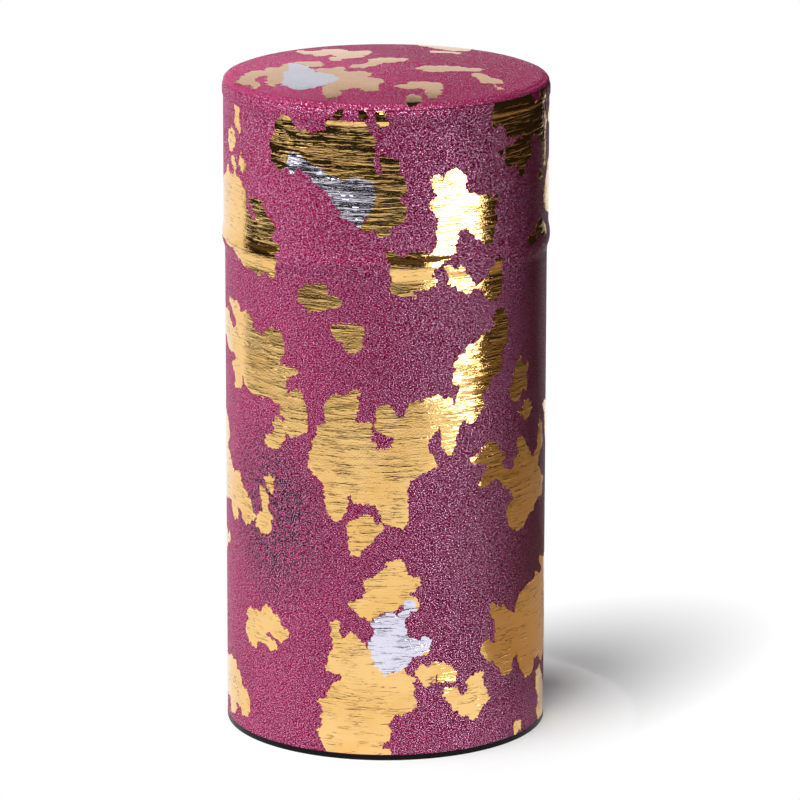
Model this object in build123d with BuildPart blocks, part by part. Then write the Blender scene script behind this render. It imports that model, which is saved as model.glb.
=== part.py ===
from build123d import *

import os
from math import asin, cos, degrees, radians, sin

# Tea caddy: a paper-covered tinplate canister with an outer lid and a friction-fit inner lid.
# Millimetres, +Z up. The origin is the centre of the rim that the caddy stands on. +Y is its back.
# The tubes and the covering paper are drawn as the line of one face, thickened by their gauge and
# revolved. The stamped ends, the collar and the inner lid are drawn as closed sections.

# ---- driving dimensions -------------------------------------------------------------------------
body_diameter = 76.0  # over the paper
joint_height = 118.8  # where the lid's edge meets the body's edge
lid_height = 39.3  # from the joint to the middle of the top

tin = 0.25  # gauge of the tinplate
paper = 0.2  # thickness of the covering paper

body_flare = 0.7  # how far the body's upper edge is spread
body_flare_height = 4.0
lid_flare_height = 3.4
joint_gap = 0.06  # bare metal that the trimmed paper leaves at the joint line

base_recess = 3.0  # top face of the base panel above the table
base_hook = 1.3  # height of the black rim outside the body
base_corner = 0.15

neck_rise = 20.2  # collar above the joint
neck_depth = 21.0  # collar below the joint
neck_hem = 2.6
neck_hem_gap = 0.1
neck_corner = 0.15
lid_clearance = 0.3  # collar to lid wall, radial

cap_shoulder = 2.6  # shoulder radius of the lid's end, in the metal
cap_skirt = 1.2  # straight skirt of the lid's end, outside the lid tube
crown_radius = 460.0  # to which the lid's panel is domed
cap_seat_gap = 0.5  # lid tube's upper edge below the start of the shoulder
skirt_run_out = 0.8  # height over which the paper comes off the skirt's edge

wrap_end_angle = 46.0  # where the side paper stops on the shoulder
disc_end_angle = 34.0  # where the top paper's edge lies on the side paper
disc_rest_angle = 1.0  # past the side paper's edge, where the top paper starts down
disc_step_angle = 10.0  # over which the top paper comes down from the side paper
overlap_width = 6.0  # lap of the side paper on itself, at the back
back_angle = 90.0

side_seam_width = 4.0  # folded side seam inside the body tube
side_seam_layers = 2
side_seam_ends = 3.0  # clear of the base panel and of the collar
side_seam_groove = 0.12
butt_seam_gap = 0.2  # between the two edges of the collar's strip, and of the lid tube's

plug_clearance = 0.25  # inner lid's wall in the collar, radial
plug_depth = 8.0
flange_clearance = 0.4  # inner lid's flange to the outer lid's wall
panel_drop = 0.6  # inner lid's panel below its flange
panel_radius = 30.5
panel_ramp = 1.4
plug_hem = 1.6
inner_corner = 0.2

knob_height = 8.0
knob_head_radius = 6.2
knob_waist_radius = 2.9
knob_foot_radius = 4.6
knob_foot_height = 0.9
knob_waist_height = 3.2  # narrowest place above the panel
knob_rim_height = 5.6  # widest place of the head above the panel
knob_edge_in = 1.0  # from the head's widest place in to where its dome starts
knob_edge_bulge = 0.1  # of the head's rounded edge past its widest place
knob_dome = 0.5  # height of the head's dome
rivet_radius = 1.25
rivet_clearance = 0.02
rivet_length = 5.0  # shank above the panel
rivet_head_radius = 3.0
rivet_head_height = 0.9
rivet_corner = 0.25

# ---- worked out ---------------------------------------------------------------------------------
overall_height = joint_height + lid_height
wrap_radius = body_diameter / 2
tube_radius = wrap_radius - paper  # outside of the body tube
bore_radius = tube_radius - tin  # inside of the body tube, outside of the collar
edge_radius = bore_radius + body_flare  # inside of the body's spread edge
neck_top = joint_height + neck_rise
neck_bottom = joint_height - neck_depth
neck_hem_radius = bore_radius - 2 * tin - neck_hem_gap

lid_bore = bore_radius + lid_clearance
lid_flare = edge_radius - lid_bore  # the two spread edges meet one above the other
lid_radius = lid_bore + tin
cap_radius = lid_radius + tin  # outside of the end's skirt
shoulder_radius = cap_radius - cap_shoulder  # where the shoulder's centre is
crown_swing = crown_radius - cap_shoulder  # the dome's centre to the shoulder's centre
crown_slope = degrees(asin(shoulder_radius / crown_swing))  # of the dome where the shoulder starts
crown_centre = overall_height - paper - crown_radius
shoulder_height = crown_centre + crown_swing * cos(radians(crown_slope))
skirt_bottom = shoulder_height - cap_skirt

plug_radius = neck_hem_radius - plug_clearance
flange_radius = lid_bore - flange_clearance
flange_top = neck_top + 2 * tin
panel_top = flange_top - panel_drop
panel_under = panel_top - tin


def s_bend(start, end):
    """Two equal arcs that leave start and reach end both pointing straight up."""
    middle = (Vector(start) + Vector(end)) / 2
    first = TangentArc(start, middle, tangent=(0, 1))
    return first, TangentArc(middle, end, tangent=first % 1)


def on_shoulder(reach, angle):
    """Point at this distance from the centre of the lid's shoulder, at this angle above level."""
    turn = radians(angle)
    return shoulder_radius + reach * cos(turn), shoulder_height + reach * sin(turn)


def shoulder_arc(reach, start, end=90 - crown_slope):
    """The shoulder's arc at this distance from its centre, between two angles above level."""
    return CenterArc((shoulder_radius, shoulder_height), reach, start, end - start)


def crown_arc(lift):
    """The lid's domed panel, lifted off the metal's outside, from the shoulder to the axis."""
    return CenterArc((0, crown_centre), crown_radius + lift, 90 - crown_slope, crown_slope)


os.makedirs("parts", exist_ok=True)

# ---- base: panel, wall and a channel that holds the tube's lower edge ---------------------------
with BuildPart() as base_end:
    with BuildSketch(Plane.XZ):
        with BuildLine():
            Polyline(
                (0, base_recess),
                (bore_radius, base_recess),
                (bore_radius, tin),
                (tube_radius, tin),
                (tube_radius, base_hook),
                (tube_radius + tin, base_hook),
                (tube_radius + tin, 0),
                (bore_radius - tin, 0),
                (bore_radius - tin, base_recess - tin),
                (0, base_recess - tin),
                close=True,
            )
        make_face()
    revolve(axis=Axis.Z)
    standing_edges = base_end.edges().group_by(Axis.Z)[0]
    fillet(standing_edges, base_corner)
    panel_rim = base_end.edges().filter_by(GeomType.CIRCLE).group_by(Axis.Z)[-1]
    fillet(panel_rim, base_corner)
base_end.part.label = "base_end"

# ---- body tube: rolled sheet, folded side seam inside, spread upper edge ------------------------
seam_angle = degrees(side_seam_width / bore_radius)
groove_angle = degrees(side_seam_groove / bore_radius)
seam_inner = bore_radius - side_seam_layers * tin
seam_bottom = base_recess + side_seam_ends
seam_top = neck_bottom - side_seam_ends
with BuildPart() as body_tube:
    with BuildSketch(Plane.XZ):
        with BuildLine():
            wall = Line((bore_radius, tin), (bore_radius, joint_height - body_flare_height))
            s_bend(wall @ 1, (edge_radius, joint_height))
            offset(amount=tin, side=Side.RIGHT)
        make_face()
    revolve(axis=Axis.Z)
    for start, width, depth, mode in (
        (-seam_angle / 2, seam_angle, side_seam_layers * tin, Mode.ADD),
        (-groove_angle / 2, groove_angle, tin, Mode.SUBTRACT),
    ):
        with BuildSketch(Plane.XZ.rotated((0, 0, back_angle + start))):
            with Locations((seam_inner + depth / 2, (seam_bottom + seam_top) / 2)):
                Rectangle(depth, seam_top - seam_bottom)
        revolve(axis=Axis.Z, revolution_arc=width, mode=mode)
body_tube.part.label = "body_tube"

# ---- collar: rolled strip pressed into the tube, hemmed inwards at the top -----------------------
neck_gap_angle = degrees(butt_seam_gap / bore_radius)
with BuildPart() as neck_sleeve:
    with BuildSketch(Plane.XZ.rotated((0, 0, back_angle + neck_gap_angle / 2))):
        with BuildLine():
            Polyline(
                (bore_radius, neck_bottom),
                (bore_radius, neck_top),
                (neck_hem_radius, neck_top),
                (neck_hem_radius, neck_top - neck_hem),
                (neck_hem_radius + tin, neck_top - neck_hem),
                (neck_hem_radius + tin, neck_top - tin),
                (bore_radius - tin, neck_top - tin),
                (bore_radius - tin, neck_bottom),
                close=True,
            )
        make_face()
    revolve(axis=Axis.Z, revolution_arc=360 - neck_gap_angle)
    neck_rims = neck_sleeve.edges().group_by(Axis.Z)[-1].filter_by(GeomType.CIRCLE)
    fillet(neck_rims, neck_corner)
neck_sleeve.part.label = "neck_sleeve"

# ---- side paper of the body, lapped at the back -------------------------------------------------
lap_angle = degrees(overlap_width / wrap_radius)
with BuildPart() as body_wrap:
    for layer, arc in ((0, 360.0), (1, lap_angle)):
        under = tube_radius + layer * paper
        with BuildSketch(Plane.XZ.rotated((0, 0, back_angle - lap_angle / 2))):
            with BuildLine():
                wall = Line((under, base_hook), (under, joint_height - body_flare_height))
                s_bend(wall @ 1, (under + body_flare, joint_height - joint_gap / 2))
                offset(amount=paper, side=Side.RIGHT)
            make_face()
        revolve(axis=Axis.Z, revolution_arc=arc)
body_wrap.part.label = "body_wrap"

# ---- lid tube: rolled sheet with a spread lower edge --------------------------------------------
lid_gap_angle = degrees(butt_seam_gap / lid_bore)
with BuildPart() as lid_tube:
    with BuildSketch(Plane.XZ.rotated((0, 0, back_angle + lid_gap_angle / 2))):
        with BuildLine():
            first, second = s_bend(
                (lid_bore + lid_flare, joint_height), (lid_bore, joint_height + lid_flare_height)
            )
            Line(second @ 1, (lid_bore, shoulder_height - cap_seat_gap))
            offset(amount=tin, side=Side.RIGHT)
        make_face()
    revolve(axis=Axis.Z, revolution_arc=360 - lid_gap_angle)
lid_tube.part.label = "lid_tube"

# ---- lid end: crowned panel, shoulder and a skirt over the tube ---------------------------------
with BuildPart() as lid_end:
    with BuildSketch(Plane.XZ):
        with BuildLine():
            skirt_in = Line((lid_radius, skirt_bottom), (lid_radius, shoulder_height))
            shoulder_arc(cap_shoulder - tin, 0)
            crown_in = crown_arc(-tin)
            crown_out = crown_arc(0)
            Line(crown_in @ 1, crown_out @ 1)
            shoulder_arc(cap_shoulder, 0)
            skirt_out = Line((cap_radius, shoulder_height), (cap_radius, skirt_bottom))
            Line(skirt_out @ 1, skirt_in @ 0)
        make_face()
    revolve(axis=Axis.Z)
lid_end.part.label = "lid_end"

# ---- side paper of the lid, lapped at the back, turned over the shoulder ------------------------
with BuildPart() as lid_wrap:
    for layer, arc in ((0, 360.0), (1, lap_angle)):
        lift = layer * paper
        with BuildSketch(Plane.XZ.rotated((0, 0, back_angle - lap_angle / 2))):
            with BuildLine():
                first, second = s_bend(
                    (lid_radius + lid_flare + lift, joint_height + joint_gap / 2),
                    (lid_radius + lift, joint_height + lid_flare_height),
                )
                Polyline(
                    second @ 1,
                    (lid_radius + lift, skirt_bottom - skirt_run_out),
                    (cap_radius + lift, skirt_bottom),
                    (cap_radius + lift, shoulder_height),
                )
                shoulder_arc(cap_shoulder + lift, 0, wrap_end_angle * (1 - layer))
                offset(amount=paper, side=Side.RIGHT)
            make_face()
        revolve(axis=Axis.Z, revolution_arc=arc)
lid_wrap.part.label = "lid_wrap"

# ---- top paper: a disc on the panel, its edge laid over the side paper --------------------------
step_start = wrap_end_angle + disc_rest_angle
step_end = step_start + disc_step_angle
with BuildPart() as lid_top_paper:
    with BuildSketch(Plane.XZ):
        with BuildLine():
            for lift in (0, paper):
                crown_arc(lift)
                shoulder_arc(cap_shoulder + lift, step_end)
                Line(
                    on_shoulder(cap_shoulder + lift, step_end),
                    on_shoulder(cap_shoulder + paper + lift, step_start),
                )
                shoulder_arc(cap_shoulder + paper + lift, disc_end_angle, step_start)
            Line(
                on_shoulder(cap_shoulder + paper, disc_end_angle),
                on_shoulder(cap_shoulder + 2 * paper, disc_end_angle),
            )
            Line((0, overall_height - paper), (0, overall_height))
        make_face()
    revolve(axis=Axis.Z)
lid_top_paper.part.label = "lid_top_paper"

# ---- inner lid: sunk panel, folded flange on the collar, wall inside the collar -----------------
with BuildPart() as inner_lid:
    with BuildSketch(Plane.XZ):
        with BuildLine():
            Polyline(
                (rivet_radius + rivet_clearance, panel_top),
                (panel_radius, panel_top),
                (panel_radius + panel_ramp, flange_top),
                (flange_radius, flange_top),
                (flange_radius, neck_top),
                (plug_radius, neck_top),
                (plug_radius, neck_top - plug_depth),
                (plug_radius - 2 * tin, neck_top - plug_depth),
                (plug_radius - 2 * tin, neck_top - plug_depth + plug_hem),
                (plug_radius - tin, neck_top - plug_depth + plug_hem),
                (plug_radius - tin, flange_top - tin),
                (panel_radius + panel_ramp, flange_top - tin),
                (panel_radius, panel_under),
                (rivet_radius + rivet_clearance, panel_under),
                close=True,
            )
        make_face()
    revolve(axis=Axis.Z)
    flange_edges = inner_lid.edges().filter_by(
        lambda edge: edge.geom_type == GeomType.CIRCLE and abs(edge.radius - flange_radius) < tin / 2
    )
    fillet(flange_edges, inner_corner)
    fillet(inner_lid.edges().group_by(Axis.Z)[0], inner_corner)
inner_lid.part.label = "inner_lid"

# ---- knob: spun mushroom on the inner lid, with a blind hole for the rivet ----------------------
foot_corner = (knob_foot_radius, panel_top + knob_foot_height)
waist_point = (knob_waist_radius, panel_top + knob_waist_height)
widest_point = (knob_head_radius, panel_top + knob_rim_height)
dome_edge = (knob_head_radius - knob_edge_in, panel_top + knob_height - knob_dome)
dome_top = (0, panel_top + knob_height)
edge_middle = (knob_head_radius + knob_edge_bulge, (widest_point[1] + dome_edge[1]) / 2)
rivet_hole_radius = rivet_radius + rivet_clearance
rivet_hole_depth = rivet_length + rivet_clearance
with BuildPart() as knob:
    with BuildSketch(Plane.XZ):
        with BuildLine():
            Polyline((0, panel_top), (knob_foot_radius, panel_top), foot_corner)
            TangentArc(waist_point, foot_corner, tangent=(0, -1))
            TangentArc(waist_point, widest_point, tangent=(0, 1))
            ThreePointArc(widest_point, edge_middle, dome_edge)
            TangentArc(dome_top, dome_edge, tangent=(1, 0))
            Line(dome_top, (0, panel_top))
        make_face()
    revolve(axis=Axis.Z)
    with Locations((0, 0, panel_top + rivet_hole_depth)):
        Hole(rivet_hole_radius, depth=rivet_hole_depth)
knob.part.label = "knob"

# ---- rivet: head under the inner lid's panel, shank in the knob ---------------------------------
with BuildPart() as knob_rivet:
    with BuildSketch(Plane.XY.offset(panel_under - rivet_head_height)):
        Circle(rivet_head_radius)
    extrude(amount=rivet_head_height)
    fillet(knob_rivet.edges().group_by(Axis.Z)[0], rivet_corner)
    with BuildSketch(Plane.XY.offset(panel_under)):
        Circle(rivet_radius)
    extrude(amount=tin + rivet_length)
knob_rivet.part.label = "knob_rivet"

for piece in (
    base_end,
    body_tube,
    neck_sleeve,
    body_wrap,
    lid_tube,
    lid_end,
    lid_wrap,
    lid_top_paper,
    inner_lid,
    knob,
    knob_rivet,
):
    export_step(piece.part, f"parts/{piece.part.label}.step")
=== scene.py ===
"""The tea caddy's looks: a plain studio, dyed paper with metal leaf on it, bare tin and lacquer."""

import math
import random

import bpy
from mathutils import Matrix, Vector, kdtree, noise
from mathutils.geometry import delaunay_2d_cdt


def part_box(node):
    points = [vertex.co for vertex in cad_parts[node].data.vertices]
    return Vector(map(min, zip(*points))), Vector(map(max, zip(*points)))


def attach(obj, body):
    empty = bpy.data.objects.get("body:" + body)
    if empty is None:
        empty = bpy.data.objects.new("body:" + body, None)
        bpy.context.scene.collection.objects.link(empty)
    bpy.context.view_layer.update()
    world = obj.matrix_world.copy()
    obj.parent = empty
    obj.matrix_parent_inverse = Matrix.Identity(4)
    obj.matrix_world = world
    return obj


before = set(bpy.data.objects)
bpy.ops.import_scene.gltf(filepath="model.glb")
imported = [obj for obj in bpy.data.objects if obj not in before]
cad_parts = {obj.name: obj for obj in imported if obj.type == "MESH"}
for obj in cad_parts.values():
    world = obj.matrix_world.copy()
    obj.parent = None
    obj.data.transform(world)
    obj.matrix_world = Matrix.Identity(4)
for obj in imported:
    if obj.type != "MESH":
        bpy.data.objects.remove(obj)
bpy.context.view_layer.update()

MM = 0.001
BODY, LID = "caddy_body", "outer_lid"

# ---- camera, in millimetres and degrees --------------------------------------------------------
CAMERA_AWAY = 1296.3
CAMERA_HEIGHT = 412.4
CAMERA_DOWN = 14.482
CAMERA_TURN = -0.149  # to the right, which puts the caddy left of the middle
CAMERA_ROLL = 0.105
LENS = 253.3
SENSOR = 36.0
VIEW_END = 20.0  # in metres

camera_data = bpy.data.cameras.new("camera")
camera_data.lens = LENS
camera_data.sensor_width = SENSOR
camera_data.clip_end = VIEW_END
camera = bpy.data.objects.new("camera", camera_data)
bpy.context.scene.collection.objects.link(camera)
camera.matrix_world = (
    Matrix.Translation((0, -CAMERA_AWAY * MM, CAMERA_HEIGHT * MM))
    @ Matrix.Rotation(math.radians(CAMERA_TURN), 4, "Z")
    @ Matrix.Rotation(math.radians(90 - CAMERA_DOWN), 4, "X")
    @ Matrix.Rotation(math.radians(CAMERA_ROLL), 4, "Z")
)
bpy.context.scene.camera = camera
bpy.context.scene.view_settings.view_transform = "Standard"

# ---- shader nodes ------------------------------------------------------------------------------
CORE = 0.35  # share of a round patch's size that is 1 all over


class Shade:
    """One material's nodes, with short names for adding and joining them."""

    def __init__(self, owner):
        owner.use_nodes = True
        self.owner = owner
        self.tree = owner.node_tree
        self.tree.nodes.clear()

    def feed(self, socket, value):
        if isinstance(value, bpy.types.NodeSocket):
            self.tree.links.new(value, socket)
        elif value is not None:
            socket.default_value = value

    def node(self, kind, *inputs, **settings):
        made = self.tree.nodes.new(kind)
        for name, value in settings.items():
            setattr(made, name, value)
        for socket, value in zip(made.inputs, inputs):
            self.feed(socket, value)
        return made

    def math(self, operation, *inputs):
        return self.node("ShaderNodeMath", *inputs, operation=operation).outputs[0]

    def ramp(self, value, low, high, start=0.0, end=1.0):
        """start to end as value goes from low to high, and no further."""
        return self.node("ShaderNodeMapRange", value, low, high, start, end).outputs[0]

    def mix(self, factor, first, second):
        """A colour between first and second. Inputs 6 and 7 and output 2 are the node's colours."""
        made = self.node("ShaderNodeMix", data_type="RGBA")
        for index, value in ((0, factor), (6, first), (7, second)):
            self.feed(made.inputs[index], value)
        return made.outputs[2]

    def noise(self, vector, scale, detail=2.0, rough=0.5):
        made = self.node("ShaderNodeTexNoise")
        self.feed(made.inputs["Vector"], vector)
        self.feed(made.inputs["Scale"], scale)
        self.feed(made.inputs["Detail"], detail)
        self.feed(made.inputs["Roughness"], rough)
        return made.outputs[0]

    def scaled(self, vector, factors):
        return self.node("ShaderNodeVectorMath", vector, factors, operation="MULTIPLY").outputs[0]

    def bump(self, height, distance):
        made = self.node("ShaderNodeBump")
        self.feed(made.inputs["Distance"], distance * MM)
        self.feed(made.inputs["Height"], height)
        return made.outputs[0]

    def patch(self, place, centre, size):
        """1 round the centre, falling to 0 at this size."""
        away = self.node("ShaderNodeVectorMath", place, centre, operation="SUBTRACT").outputs[0]
        shares = tuple(1 / side for side in size)
        length = self.node("ShaderNodeVectorMath", self.scaled(away, shares), operation="LENGTH")
        return self.ramp(length.outputs["Value"], CORE, 1.0, 1.0, 0.0)

    def flat(self):
        """The place in millimetres."""
        place = self.node("ShaderNodeTexCoord").outputs["Object"]
        return self.scaled(place, (1 / MM, 1 / MM, 1 / MM))

    def wrapped(self):
        """The place in millimetres as arc round the caddy from its front, height, and radius."""
        x, y, z = self.node("ShaderNodeSeparateXYZ", self.flat()).outputs
        turn = self.math("ARCTAN2", x, self.math("MULTIPLY", y, -1.0))
        squares = self.math("ADD", self.math("MULTIPLY", x, x), self.math("MULTIPLY", y, y))
        arc = self.math("MULTIPLY", turn, PAPER_RADIUS)
        return self.node("ShaderNodeCombineXYZ", arc, z, self.math("SQRT", squares)).outputs[0]

    def principled(self, **values):
        """The finished surface. A plain value goes on the shader's own socket."""
        made = self.node("ShaderNodeBsdfPrincipled")
        for name, value in values.items():
            self.feed(made.inputs[name.replace("_", " ")], value)
        return self.finish(made)

    def finish(self, shader, output="ShaderNodeOutputMaterial"):
        self.tree.links.new(shader.outputs[0], self.node(output).inputs["Surface"])
        return self.owner


def seen(red, green, blue):
    """A colour as it looks on a screen, 0 to 255, in the shader's units."""
    return tuple(((value / 255 + 0.055) / 1.055) ** 2.4 for value in (red, green, blue)) + (1.0,)


# ---- sizes in millimetres, from the frame and, where it can't say, as the part has them ---------
def low(node):
    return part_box(node)[0] / MM


def high(node):
    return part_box(node)[1] / MM


PAPER = 0.2
BODY_FLARE = 0.7
BODY_FLARE_HEIGHT = 3.9
LID_FLARE = 0.4
LID_FLARE_HEIGHT = 3.3
SKIRT_RUN_OUT = 0.8
SHOULDER = 2.8  # radius of the side paper's shoulder
DISC_LIFT = 0.2  # of the top paper's edge over the side paper
DISC_START, DISC_STEP, DISC_END = 34.0, 47.0, 57.0  # degrees up the shoulder, as DISC_RISE is
DISC_RISE = 0.5  # over which the top paper's edge stands up
DISC_GAP = 0.03  # from that edge down to where leaf on the side ends
CROWN_RADIUS = 460.2
LEAF_REACH = 0.85  # how far over the shoulder the top's leaf goes, as a share of its radius

BODY_BOTTOM = low("body_wrap").z
BODY_TOP = high("body_wrap").z
LID_BOTTOM = low("lid_wrap").z
LID_TOP = high("lid_top_paper").z
PAPER_RADIUS = high("body_wrap").x - BODY_FLARE
LID_RADIUS = high("body_wrap").x - LID_FLARE
SKIRT_RADIUS = high("lid_end").x + PAPER
SKIRT_BOTTOM = low("lid_end").z
SHOULDER_RADIUS = SKIRT_RADIUS - SHOULDER
CROWN_CENTRE = LID_TOP - CROWN_RADIUS
CROWN_SLOPE = math.asin(SHOULDER_RADIUS / (CROWN_RADIUS - SHOULDER))
SHOULDER_HEIGHT = CROWN_CENTRE + (CROWN_RADIUS - SHOULDER) * math.cos(CROWN_SLOPE)
DISC_EDGE = SHOULDER_HEIGHT + SHOULDER * math.sin(math.radians(DISC_START)) - DISC_GAP
TOP_RIM, TOP_RISE = 35.9, 1.1  # radius of the dome's rim, and its rise over a nearly flat top


def smooth(value):
    """0 to 1 in two equal bends."""
    value = min(max(value, 0.0), 1.0)
    return 2 * value * value if value < 0.5 else 1 - 2 * (1 - value) ** 2


def disc_lift(angle):
    """How far the top paper's edge stands off the side paper, degrees up the shoulder."""
    rising = (angle - DISC_START) / DISC_RISE
    falling = (DISC_END - angle) / (DISC_END - DISC_STEP)
    return DISC_LIFT * min(max(rising, 0.0), max(falling, 0.0), 1.0)


def side_radius(height, body):
    """Radius of the paper's outside at a height."""
    if body == BODY:
        rise = (height - BODY_TOP) / BODY_FLARE_HEIGHT + 1
        return PAPER_RADIUS + BODY_FLARE * smooth(rise)
    if height < SHOULDER_HEIGHT:
        spread = LID_FLARE * (1 - smooth((height - LID_BOTTOM) / LID_FLARE_HEIGHT))
        skirt = min(max((height - SKIRT_BOTTOM) / SKIRT_RUN_OUT + 1, 0.0), 1.0)
        return LID_RADIUS + spread + (SKIRT_RADIUS - LID_RADIUS) * skirt
    up = height - SHOULDER_HEIGHT
    reach = SHOULDER + disc_lift(math.degrees(math.asin(min(up / SHOULDER, 1.0))))
    return SHOULDER_RADIUS + math.sqrt(reach * reach - up * up)


def on_side(arc, height, lift, body):
    """The point this far off the paper's outside, from its arc and height."""
    step = 0.02
    slope = (side_radius(height + step, body) - side_radius(height - step, body)) / (2 * step)
    out = Vector((1.0, -slope)).normalized() * lift
    radius = side_radius(height, body) + out.x
    turn = arc / PAPER_RADIUS
    return Vector((radius * math.sin(turn), -radius * math.cos(turn), height + out.y)) * MM


def on_top(x, y, lift, body):
    """The point this far off the lid's top, from above. It takes a body because on_side does."""
    radius = math.hypot(x, y)
    if radius < CROWN_RADIUS * math.sin(CROWN_SLOPE):
        angle = math.acos(radius / CROWN_RADIUS)
        centre = Vector((0.0, CROWN_CENTRE))
        reach = CROWN_RADIUS
    else:
        angle = math.acos(min((radius - SHOULDER_RADIUS) / SHOULDER, LEAF_REACH))
        centre = Vector((SHOULDER_RADIUS, SHOULDER_HEIGHT))
        reach = SHOULDER + disc_lift(math.degrees(angle))
    place = centre + Vector((math.cos(angle), math.sin(angle))) * (reach + lift)
    return Vector((x / radius * place.x, y / radius * place.x, place.y)) * MM


# ---- outlines of the leaf ----------------------------------------------------------------------
# On the side each point is arc right of the front and height, and on the top it is x and y, all in
# millimetres. Leaf that goes on past where the photograph ends is closed off.
LID_GOLD = """
-26,152.4 -24.6,153 -23.1,152.6 -22.3,151.2 -21.2,150.1 -19,150.1 -16.9,149.7 -15.6,150.1 -14,150.3
-14.2,152.8 -12.9,153.2 -10.4,153 -5,153.2 -4.2,151.6 -3.1,149.9 -2.1,148.2 -2.5,145.8 -2.9,143.2
-2.3,141 -1.2,140.3 -0.4,142 -1.5,144.5 -1.7,145.1 -0.4,145.1 0.4,144.5 3.1,144.1 3.3,142.8
3.3,140.3 4.6,138.7 4.9,136.6 3.3,135.3 3.5,134.3 4.9,132 4.4,130.3 2.5,128.7 1.2,128.2 0.6,126.2
-0.8,125.3 -1.9,127 -2.9,127.8 -4.6,127 -5.8,127.6 -4.6,131 -4,137.5 -8,138.3 -13,139.3 -16.5,141.3
-21.5,143.2 -23.6,142 -24.4,140.6 -26,139.7 -27.1,140.1 -28.8,141.4 -29.4,142.8 -29.4,144.9
-28.8,147 -27.5,148 -27.9,149.5 -27.7,151.2
/ -12.4,153.6 -10.5,153.3 -9.7,154.5 -10,155.6 -11.3,155.6 -11.9,154.8
/ -6.7,155.6 -4.3,155.6 -4.1,154.3 -4.6,153.4 -6.2,153.6
/ -2,155.6 -0.1,155.6 0,154 0.6,153.2 0.3,152 -1,151.2 -1.6,152.4 -2.5,152.8 -2.4,154
/ -44.5,151.7 -42.6,152.4 -41.3,151.9 -41.8,149.5 -41,147.7 -40.8,146.2 -42,145.7 -44.6,147.6
-44,149.2
/ -48.7,144.5 -47.5,145.9 -44.4,145.9 -44.1,143 -45.5,141.2 -48,140.9 -48.8,142.5
/ -41,141.3 -40.4,141.5 -39.8,140.3 -38.9,139.4 -38.1,138 -39.5,136.9 -41,137.6 -42.3,138.4
-41.4,139.9
/ -62,131 -57.5,132 -54,133.5 -51.5,134.5 -50.5,136.8 -49.2,137.3 -48.3,135.5 -45.3,135.3
-44.9,137.2 -46.5,138.5 -46.4,139.8 -44.6,140.3 -43.6,138.6 -43.9,136.4 -43.2,135.2 -41.2,134.9
-39.4,133.5 -38.4,132.2 -38.7,130.4 -37.6,128.8 -36.3,127 -35.2,126.4 -34.3,127.5 -35.8,129.5
-37.3,130.7 -36.6,131.8 -33.5,131.9 -31.9,131.6 -31.5,129.9 -30.3,128.4 -28.7,127.4 -27.9,125.2
-28.9,124 -28.4,122.7 -26.2,121.6 -26.2,120.8 -27.5,119.9 -28,118.8 -60,118.8 -63,121 -64.5,124.5
-63.5,128
/ 10.4,139.5 11,140 12.1,140.2 12.7,139.7 12.9,138.3 13.3,138.7 13.8,139.9 14.6,141 15.8,141.2
17.5,140.8 18.1,140.1 19,139.3 18.8,137 19.6,135.3 21.7,134.9 24.2,134.5 25.8,133.7 28.1,133.9
28.3,133 27.7,131.6 27.1,129.9 27.9,129.3 27.9,128.2 27.3,126.2 26.7,123.7 26.2,122.4 25.6,122.2
24.2,123 22.5,124.3 20.8,125.5 19.6,126.6 18.3,126.8 17.1,126.4 17.1,125.1 16.5,123.7 15.8,121.6
15,120.1 13.3,119.3 12.5,118.8 1,118.8 0.8,119.9 0,121.6 0.4,122.8 2.3,122.4 3.5,121 4.4,121
5.8,122.4 8.8,122 10.4,121.8 11.7,123.7 12.3,124.9 11.7,126.6 11.9,128.2 11,131.2 10.2,132.8
10.4,134.3 11.2,134.9 11,136.2 10.6,137.2 10.4,138.7
/ 27.6,118.8 28.3,120 29.1,118.8
/ 26.5,154.8 27.3,155.6 40.2,155.6 40.9,154.9 41.5,153.5 42.9,153 45,153.5 45.6,155.6 47.7,155.6
49.4,153.9 48.5,152 49.2,150.3 50,149 52,147.2 50.8,146.2 50.6,143.2 50.6,139.5 50.2,136.2 48.8,137
47.7,139 47.9,142.4 46.2,143.2 44.6,144.9 41.7,145.8 40.6,145.3 40.8,141.2 39.2,140.3 37.9,138.7
37.1,137 36,136.6 35.2,138.2 34.2,140.3 32.1,139.5 30.8,140.3 30.2,141.6 30.4,143.7 30.8,144.9
34,145.4 37,145.6 36.5,146.2 33,146.4 30.8,147 30.6,148.7 29.6,149.9 28.3,150.3 27.3,149.5
26.2,151.2 25.8,152.8
/ 44.6,134.6 45.5,136.8 46.8,136.6 47.9,135.2 48.1,133 46.6,133.6
/ 44,123.7 45,124.5 46.7,124.9 48.3,124.3 50,122.8 51.7,121.2 50,120.1 45.4,120.1 44,121.2
/ 39.2,120.3 39.6,121.6 40.4,122.2 42.9,121.6 43.5,120.8 42.9,119.3 40.4,119.5
/ 49,129.5 48.6,131 50,132.8 52,134.5 54,137 60,138.5 64,136 65,130 63,125.5 60,124 56,124.5
53.5,125.2 51,126.2 49.2,127.3
/ 53,147.2 56,149.5 60,150.5 63.5,149 63,146 60,145.2 56,146
/ 27.6,143.4 28.9,142.6 29.7,143.2 29.9,144.4 28.4,144.5
"""
LID_SILVER = """
-24,142.4 -23.3,144.1 -22.5,144.7 -20,143.9 -17.9,142.4 -15.2,141.6 -14.2,140.3 -11.7,139.5
-8.3,139.7 -5.8,139.3 -2.9,139.1 -2.7,136.6 -2.9,133.7 -3.8,131.6 -4.8,130.3 -5.8,128 -6.5,128.2
-7.7,129.3 -10,129.9 -11,132 -12.3,133.5 -12.5,134.9 -13.8,136.2 -15.8,137.2 -17.7,138.2
-18.8,139.9 -20,140.5 -21.2,141 -22.3,139.5 -23.3,139.7 -24.1,140.5
"""
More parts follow.
